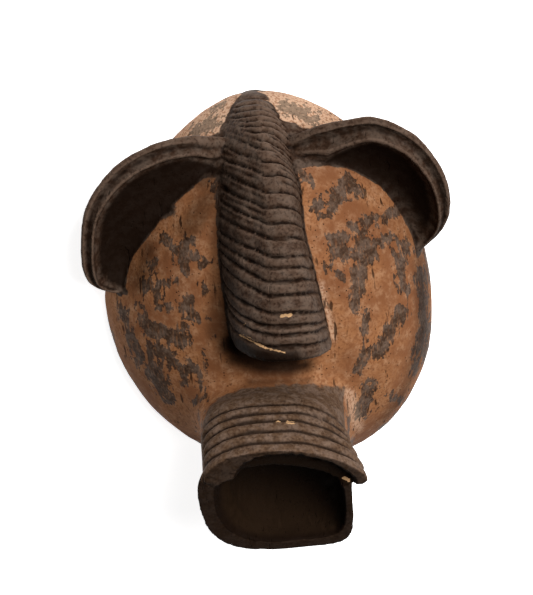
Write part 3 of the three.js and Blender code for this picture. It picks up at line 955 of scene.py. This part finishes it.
def paintReaches(piece):
    # How far each point lies inside each coat, in mm, with less than 0 outside. Groove, hollow, the painted
    # shade with the muzzle's dark rim, and pale are depths and shares.
    points, normals = pointsOf(piece.data), normalsOf(piece.data)
    away = partDistances(points)
    seen = photoPlace(points)
    pixel = camera["pixel"]
    shown = smoothstep(facing(points, normals), 0.1, 0.35)
    raised = smoothstep(points[:, 2], 10, 15)

    def reachOf(name):
        return pixel * strokeReach(seen, paintAreas[name])

    edgeX, edgeY = np.array(paintAreas["noseEdge"], float).T
    past = seen[:, 0] - np.interp(seen[:, 1], edgeY, edgeX)
    bare = smoothstep(past, 0, paintAreas["noseEdgeSoft"]) * raised
    bare *= smoothstep(seen[:, 1], *paintAreas["noseEdgeStart"])
    stain = np.maximum(lerp(0.6 - away["nose"], -4, bare), 0.8 - away["ears"])
    for corners in paintAreas["ears"]:
        area = paintAreas["earEdge"] * pixel * areaReach(seen, corners)
        stain = np.maximum(stain, lerp(-4, area, shown * raised))
    unseen = 4 * (grain(points, paintAreas["unseenSize"], 4, 8) - paintAreas["unseenShare"])
    onMuzzle = 1 - np.minimum(away["jaw"], away["collar"])
    below = np.minimum(paintAreas["neckBelow"] - muzzleBack(points), onMuzzle)
    over = smoothstep(muzzleHeight(points), -3, 0)
    kept = (1 - bare * (1 - smoothstep(away["nose"], 1, 2))) * (1 - rootBlend(away))
    # dark dirt with a painted shadow under the nose's tip
    under = smoothstep(reachOf("grimeAndShade"), -paintAreas["shadeSoft"], 1) * raised
    # a wash of dirt and painted shade beside the nose, by the ears' feet and along the head's right side
    dirtAndShadeWash = smoothstep(reachOf("dirtAndShadeWash"), -paintAreas["dirtAndShadeWashSoft"], 1) * shown
    cups = cupShade(points, seen, away) * shown * raised
    reaches = {
        "stain": stain,
        "patch": lerp(unseen, reachOf("patches"), shown),
        "neck": lerp(below, pixel * areaReach(seen, paintAreas["neck"]), over),
        "chip": lerp(-4, reachOf("chips"), shown),
        "inside": 0.6 - away["inner"],
        "groove": readValues(piece.data, "groove") * kept,
        "hollow": readValues(piece.data, "hollow") * smoothstep(away["inner"], 0.3, 1) * kept,
        # painted shade in the ears' cups, under the nose, in the collar's grooves and in the wash, with the
        # muzzle's dark rim
        "paintedShadeAndDarkRim": np.max([cups, under, muzzleShade(points, normals, away), 0.6 * dirtAndShadeWash], axis=0),
        "pale": 0.5 * smoothstep(reachOf("pale"), -0.8, 0.6) * raised,
    }
    for name, values in reaches.items():
        keepValues(piece.data, name, np.clip(values, -4, 4))
    return list(reaches)


reachNames = paintReaches(mask)
print("paint laid out")


def colour(code):
    # sRGB hex to linear
    parts = [int(code[i : i + 2], 16) / 255 for i in (0, 2, 4)]
    return tuple(p / 12.92 if p <= 0.04045 else ((p + 0.055) / 1.055) ** 2.4 for p in parts) + (1,)


paint = {
    "colours": {
        "tan": "875b3b",
        "tanPale": "997457",
        "tanDeep": "6c442b",
        "patch": "3d2c21",
        "patchPale": "544338",
        "stain": "302118",
        "stainWorn": "4a3d34",
        "neck": "4a3729",  # the grey coat on the muzzle
        "neckPale": "5b493d",
        # near-black brown for pores, specks and dirt, and for the painted shade in the cuts, under the nose
        # and in the ears
        "grimeAndShade": "120a06",
        # the dark wood inside the mouth and the back's hollow, made darker still as painted shade
        "innerWoodAndShade": "1d130b",
        "bareWood": "a8845f",
        # paler tan and patch colours for the painted light on the forehead's top; crownPatch also gives
        # pale specks
        "crown": "b4967e",
        "crownPatch": "7d6856",
    },
    # Size in mm, detail, stretch and turn about Z in degrees. Brush grit and scratches are finer than
    # a pixel, and are drawn as coarse as they need to show.
    "noises": {
        "cloud": (14, 3, (1, 1, 1), 0),
        "mottle": (2.6, 5, (1, 1, 1), 0),
        "speck": (0.7, 3, (1, 1, 1), 0),
        "comb": (1.3, 3, (1, 0.3, 1), -38),
        "scratch": (0.6, 2, (1, 0.15, 1), -38),
        "pit": (1.1, 2, (1, 0.16, 0.5), 4),
        "break": (4.5, 4, (1, 1, 1), 0),
    },
    "poresPerMillimetre": 0.9,
    # Each value is made from earlier ones. A fade has where it starts and ends, and from what to what.
    "values": {
        "rag": ("SUBTRACT", "comb", 0.5),
        "crumb": ("SUBTRACT", "speck", 0.5),
        "wander": ("SUBTRACT", "mottle", 0.5),
        # a coat's edge in mm is made ragged by noise before it is cut
        "patchTeeth": ("MULTIPLY_ADD", "rag", 5.5, "patch"),
        "patchCrumbs": ("MULTIPLY_ADD", "crumb", 1.8, "patchTeeth"),
        "islands": ("fade", "break", 0.6, 0.66, 0, 2),
        "patchReach": ("SUBTRACT", "patchCrumbs", "islands"),
        "patchEdge": ("fade", "patchReach", -0.1, 0.12),
        "scratched": ("fade", "scratch", 0.54, 0.66, 1, 0.6),
        "patches": ("MULTIPLY", "patchEdge", "scratched"),
        "stainReach": ("MULTIPLY_ADD", "wander", 0.9, "stain"),
        "stained": ("fade", "stainReach", -0.1, 0.12),
        "neckReach": ("MULTIPLY_ADD", "wander", 2.5, "neck"),
        "greyed": ("fade", "neckReach", -0.2, 0.5),
        "chipReach": ("MULTIPLY_ADD", "crumb", 0.9, "chip"),
        "chipped": ("fade", "chipReach", -0.02, 0.08),
        "unpainted": ("fade", "inside", 0, 0.3),
        # round pores and long pits in the wood, in some places only
        "poreHole": ("fade", "pores", 0.1, 0.2, 1, 0),
        "poreField": ("fade", "break", 0.5, 0.58),
        "pore": ("MULTIPLY", "poreHole", "poreField"),
        "pitHole": ("fade", "pit", 0.62, 0.7),
        "pitField": ("fade", "cloud", 0.42, 0.56),
        "longPit": ("MULTIPLY", "pitHole", "pitField"),
        "hole": ("MAXIMUM", "pore", "longPit"),
        "holeDark": ("MULTIPLY", "hole", 0.8),
        # tan, painted paler towards the forehead's top as painted light, in mm above the middle, and the
        # paler strips
        "tanCloud": ("fade", "cloud", 0.35, 0.65),
        "tanMottle": ("fade", "mottle", 0.4, 0.85, 0, 0.8),
        "tanSpeck": ("fade", "speck", 0.45, 0.65, 0, 0.75),
        "crownPaintedLight": ("fade", "above", 34, 50, 0, 0.75),
        "paleStripsAndCrownLight": ("MAXIMUM", "crownPaintedLight", "pale"),
        # the darker coats, speckled
        "coatMottle": ("fade", "mottle", 0.4, 0.62),
        "stainMottle": ("fade", "mottle", 0.38, 0.66),
        "fineDark": ("fade", "speck", 0.52, 0.66, 0, 0.4),
        "finePale": ("fade", "speck", 0.48, 0.34, 0, 0.2),
        "coated": ("MAXIMUM", "greyed", "patches"),
        "coatedDark": ("MULTIPLY", "coated", "fineDark"),
        "coatedPale": ("MULTIPLY", "coated", "finePale"),
        # ridges paler from wear and a painted sheen, and dirt with painted shade in the grooves and hollows
        "wornReach": ("MULTIPLY_ADD", "crumb", 0.1, "groove"),
        "ribWearAndSheen": ("fade", "wornReach", 0.02, -0.1, 0, 0.6),
        "bulgeWearAndSheen": ("fade", "hollow", -0.1, -0.8, 0, 0.6),
        "wornAndSheen": ("MAXIMUM", "ribWearAndSheen", "bulgeWearAndSheen"),
        "grooveDirtAndShade": ("fade", "groove", 0.005, 0.1),
        "hollowDirtAndShade": ("fade", "hollow", 0.15, 1.1, 0, 0.85),
        "carvingDirtAndShade": ("MAXIMUM", "grooveDirtAndShade", "hollowDirtAndShade"),
        "dirtAndShade": ("MAXIMUM", "carvingDirtAndShade", "paintedShadeAndDarkRim"),
        "dirtAndShadeDark": ("MULTIPLY", "dirtAndShade", 0.94),
        # worn paint is a little smoother than the tan
        "painted": ("MAXIMUM", "patches", "stained"),
        "smoother": ("fade", "painted", 0, 1, 0.66, 0.5),
        "roughness": ("MULTIPLY_ADD", "wander", 0.2, "smoother"),
    },
    # A coat is a first colour and what lies over it: how much, and a colour or an earlier coat.
    "coats": {
        # patches are painted paler towards the forehead's top too, as painted light
        "patchCoat": ("patch", ("coatMottle", "patchPale"), ("paleStripsAndCrownLight", "crownPatch")),
        "neckCoat": ("neck", ("coatMottle", "neckPale")),
        # on the stain, ridges are paler from wear and from a painted sheen
        "stainCoat": ("stain", ("stainMottle", "stainWorn"), ("wornAndSheen", "neckPale"))
        + (("finePale", "neckPale"), ("fineDark", "grimeAndShade")),
        # the tan is painted paler towards the forehead's top, as painted light
        "skin": ("tanDeep", ("tanCloud", "tan"), ("tanMottle", "tanPale"), ("paleStripsAndCrownLight", "crown"))
        + (("tanSpeck", "tanDeep"), ("holeDark", "grimeAndShade"), ("patches", "patchCoat"))
        + (("greyed", "neckCoat"), ("coatedDark", "grimeAndShade"), ("coatedPale", "crownPatch"))
        + (("stained", "stainCoat"), ("unpainted", "innerWoodAndShade"), ("dirtAndShadeDark", "grimeAndShade"))
        + (("chipped", "bareWood"),),
    },
    "relief": {"speck": 0.1, "mottle": 0.16, "patches": 0.05, "hole": -0.16},  # mm
    "shine": 0.015,  # old dusty paint has almost none
}


def paintedWood():
    # Brush-painted tan and grey-brown coats, rubbed and flaked off knife-carved wood.
    # It gives the eye a dull, dry skin with ragged darker patches, paler ribs from wear and a painted
    # sheen, painted light on the forehead's top, and dirt with painted shade in the cuts, under the nose
    # and in the ears.
    material = bpy.data.materials.new("flaked_paint_on_knife_carved_wood")
    material.use_nodes = True
    tree = material.node_tree
    tree.nodes.clear()

    def add(kind, inputs, **settings):
        made = tree.nodes.new("ShaderNode" + kind)
        for name, value in settings.items():
            setattr(made, name, value)
        for slot, given in inputs.items() if isinstance(inputs, dict) else enumerate(inputs):
            if isinstance(given, bpy.types.NodeSocket):
                tree.links.new(given, made.inputs[slot])
            else:
                made.inputs[slot].default_value = given
        return made.outputs

    inMillimetres = (1 / millimetre,) * 3
    place = add("VectorMath", (add("TexCoord", ())["Object"], inMillimetres), operation="MULTIPLY")[0]
    value = {name: add("Attribute", (), attribute_name=name)["Fac"] for name in reachNames}
    for name, (size, detail, stretch, turn) in paint["noises"].items():
        turned = {"Vector": place, "Rotation": (0, 0, math.radians(turn)), "Scale": stretch}
        turned = add("Mapping", turned)[0]
        value[name] = add("TexNoise", {"Vector": turned, "Scale": 1 / size, "Detail": detail})[0]
    pores = {"Vector": place, "Scale": paint["poresPerMillimetre"]}
    value["pores"] = add("TexVoronoi", pores)["Distance"]
    value["above"] = add("SeparateXYZ", (place,))[1]

    for name, (kind, *inputs) in paint["values"].items():
        inputs = [value[v] if isinstance(v, str) else v for v in inputs]
        if kind == "fade":
            value[name] = add("MapRange", inputs, interpolation_type="SMOOTHSTEP")[0]
        else:
            value[name] = add("Math", inputs, operation=kind)[0]

    laid = {name: colour(code) for name, code in paint["colours"].items()}
    for coat, (first, *over) in paint["coats"].items():
        surface = laid[first]
        for amount, upper in over:
            surface = add("Mix", {0: value[amount], 6: surface, 7: laid[upper]}, data_type="RGBA")[2]
        laid[coat] = surface

    height = 0
    for name, rise in paint["relief"].items():
        height = add("Math", (value[name], rise, height), operation="MULTIPLY_ADD")[0]
    bump = add("Bump", {"Height": height, "Distance": millimetre, "Strength": 1})[0]
    skin = {"Base Color": laid["skin"], "Roughness": value["roughness"], "Normal": bump}
    skin["Specular IOR Level"] = paint["shine"]
    add("OutputMaterial", {"Surface": add("BsdfPrincipled", skin)[0]})
    return material


mask.data.materials.clear()
mask.data.materials.append(paintedWood())
for face in mask.data.polygons:
    face.use_smooth = True
print("painted")

mask.data.transform(Matrix.Translation(-middle))
mask.data.transform(Matrix.Scale(millimetre, 4))
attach(mask, "root")
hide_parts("mask")


# A white board and one large soft lamp, as in a plain studio.
studio = {  # in metres
    "floorSize": 6,
    "floorWhite": 0.9,
    "floorGlow": 0.9,  # as white in the picture as the photo's ground
    "worldLight": 0.3,
    "lampSize": 0.5,
    "lampEnergy": 16,
    "lampPlace": (0.36, 0.4, 0.8),
    "lampAim": (0, 0, 0.02),
}


def addStage():
    bm = bmesh.new()
    bmesh.ops.create_grid(bm, x_segments=1, y_segments=1, size=studio["floorSize"] / 2)
    floor = objectFrom(bm, "floor")
    material = bpy.data.materials.new("matte_white_board")
    material.use_nodes = True
    board = material.node_tree.nodes["Principled BSDF"].inputs
    board["Base Color"].default_value = (studio["floorWhite"],) * 3 + (1,)
    board["Roughness"].default_value = 0.9
    board["Emission Color"].default_value = (1, 1, 1, 1)
    board["Emission Strength"].default_value = studio["floorGlow"]
    floor.data.materials.append(material)


def addLights():
    world = bpy.data.worlds.new("studio")
    world.use_nodes = True
    world.node_tree.nodes["Background"].inputs["Strength"].default_value = studio["worldLight"]
    bpy.context.scene.world = world
    light = bpy.data.lights.new("softbox", "AREA")
    light.size = studio["lampSize"]
    light.energy = studio["lampEnergy"]
    shown = bpy.data.objects.new("softbox", light)
    shown.location = studio["lampPlace"]
    aim = Vector(studio["lampAim"]) - shown.location
    shown.rotation_euler = aim.to_track_quat("-Z", "Y").to_euler()
    bpy.context.scene.collection.objects.link(shown)
    bpy.context.scene.view_settings.view_transform = "Standard"


addStage()
addLights()
print("studio set up")
